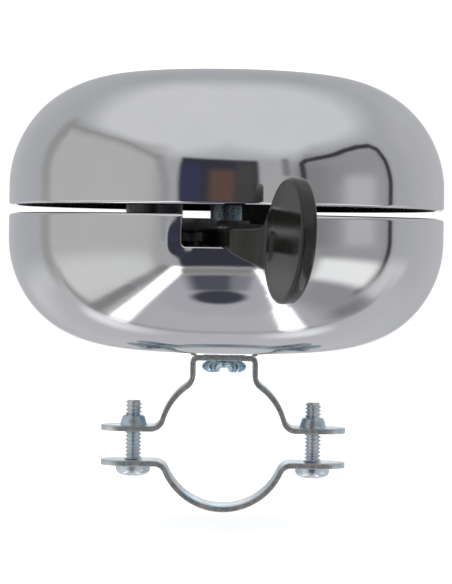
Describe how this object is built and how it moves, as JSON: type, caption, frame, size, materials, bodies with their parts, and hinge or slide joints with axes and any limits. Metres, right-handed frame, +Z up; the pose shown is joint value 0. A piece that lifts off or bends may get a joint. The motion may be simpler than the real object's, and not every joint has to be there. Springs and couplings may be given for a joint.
{
  "type": "bicycle bell",
  "caption": "Two-cup ding-dong bicycle bell with a side thumb lever, an internal geared hammer and a two-strap handlebar clamp.",
  "frame": {"origin": "centre of the handlebar bore in the lower clamp strap", "axes": "+Z up along the bell's axis, +Y along the handlebar, the thumb lever points to -Y"},
  "size_m": [0.08, 0.1079, 0.0815],
  "materials": {
    "chrome": "polished chrome plating",
    "zinc": "bright blue-passivated zinc plating",
    "steel": "plain stamped and turned steel, lightly oiled",
    "spring_steel": "dark drawn spring wire",
    "black_plastic": "glossy moulded black plastic",
    "nylon": "natural nylon",
    "brass": "machined brass",
    "rubber": "black rubber"
  },
  "bodies": {
    "bell": {"upper_cup": "chrome", "lower_cup": "chrome", "cup_boss": "zinc", "centre_post": "zinc", "post_nut": "zinc", "lock_washer": "zinc", "cup_washer": "zinc", "post_spacer": "zinc", "plate_ring": "steel", "mechanism_plate": "zinc", "lever_pivot_pin": "steel", "pivot_washer": "nylon", "pivot_clip": "steel", "stop_peg": "steel", "stop_bumper": "rubber", "rotor_bush": "brass", "upper_strike_stud": "steel", "lower_strike_stud": "steel", "upper_clamp_strap": "zinc", "return_spring": "spring_steel"},
    "lever": {"lever_arm": "steel", "thumb_lever": "black_plastic", "lever_rivets": "steel", "spring_peg": "steel"},
    "rotor": {"rotor_shaft": "steel", "rotor_pinion": "brass", "rotor_clip": "steel", "hammer_hub": "steel", "upper_hammer": "steel", "lower_hammer": "steel", "upper_striker_pin": "steel", "lower_striker_pin": "steel"},
    "upper_striker_ring": {"upper_striker": "steel"},
    "lower_striker_ring": {"lower_striker": "steel"},
    "lower_clamp": {"lower_clamp_strap": "zinc"},
    "screw_left": {"clamp_screw_left": "zinc"},
    "screw_right": {"clamp_screw_right": "zinc"}
  },
  "joints": [
    {"name": "lever_press", "type": "hinge", "parent": "bell", "child": "lever", "pos_m": [-0.005, -0.0135, 0.03835], "axis": [0, 0, 1], "range_deg": [-13.5, 0], "stiffness_Nm_per_rad": 0.25, "springref_deg": 28.65, "deforming": ["return_spring"]},
    {"name": "rotor_spin", "type": "hinge", "parent": "bell", "child": "rotor", "pos_m": [-0.01351, 0.0057, 0.04], "axis": [0, 0, 1], "range_deg": [0, 54]},
    {"name": "upper_striker_spin", "type": "hinge", "parent": "rotor", "child": "upper_striker_ring", "pos_m": [-0.02074, 0.02053, 0.0485], "axis": [0, 0, 1], "continuous": true},
    {"name": "lower_striker_spin", "type": "hinge", "parent": "rotor", "child": "lower_striker_ring", "pos_m": [-0.0278, 0.01395, 0.0326], "axis": [0, 0, 1], "continuous": true},
    {"name": "clamp_close", "type": "slide", "parent": "bell", "child": "lower_clamp", "axis": [0, 0, 1], "range_m": [-0.0025, 0.0015]},
    {"name": "screw_left_turn", "type": "hinge", "parent": "lower_clamp", "child": "screw_left", "pos_m": [-0.0166, 0, 0], "axis": [0, 0, 1], "range_deg": [-1300, 790]},
    {"name": "screw_right_turn", "type": "hinge", "parent": "lower_clamp", "child": "screw_right", "pos_m": [0.0166, 0, 0], "axis": [0, 0, 1], "range_deg": [-1300, 790]}
  ],
  "couplings": [
    {"joint": "rotor_spin", "follows": "lever_press", "ratio": -4},
    {"joint": "screw_left_turn", "follows": "clamp_close", "rad_per_m": 8976},
    {"joint": "screw_right_turn", "follows": "clamp_close", "rad_per_m": 8976}
  ]
}
